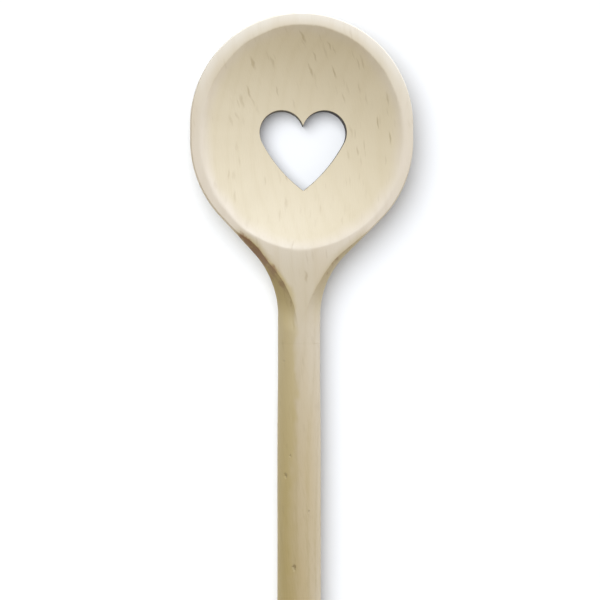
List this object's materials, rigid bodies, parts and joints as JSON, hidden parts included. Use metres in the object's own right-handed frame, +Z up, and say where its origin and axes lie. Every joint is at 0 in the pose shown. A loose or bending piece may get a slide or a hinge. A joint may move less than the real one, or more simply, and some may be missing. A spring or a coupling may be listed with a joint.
{
  "type": "cooking spoon",
  "caption": "Round wooden cooking spoon with a shallow hollow, a heart-shaped hole through its bowl, a flat-topped neck and a straight round handle, for stirring.",
  "frame": {"origin": "on the table, under the middle of the spoon's length and width, with the spoon lying on its back", "axes": "+Y along the spoon towards the tip of the bowl, +Z up out of the hollow, +X to the right as seen from above with the bowl away from the viewer"},
  "size_m": [0.06, 0.3, 0.0118],
  "materials": {
    "pale_beech": "bare, fine sanded",
    "yellow_beech": "bare, fine sanded"
  },
  "bodies": {
    "root": {"bowl_head": "pale_beech", "handle": "yellow_beech"}
  },
  "joints": []
}
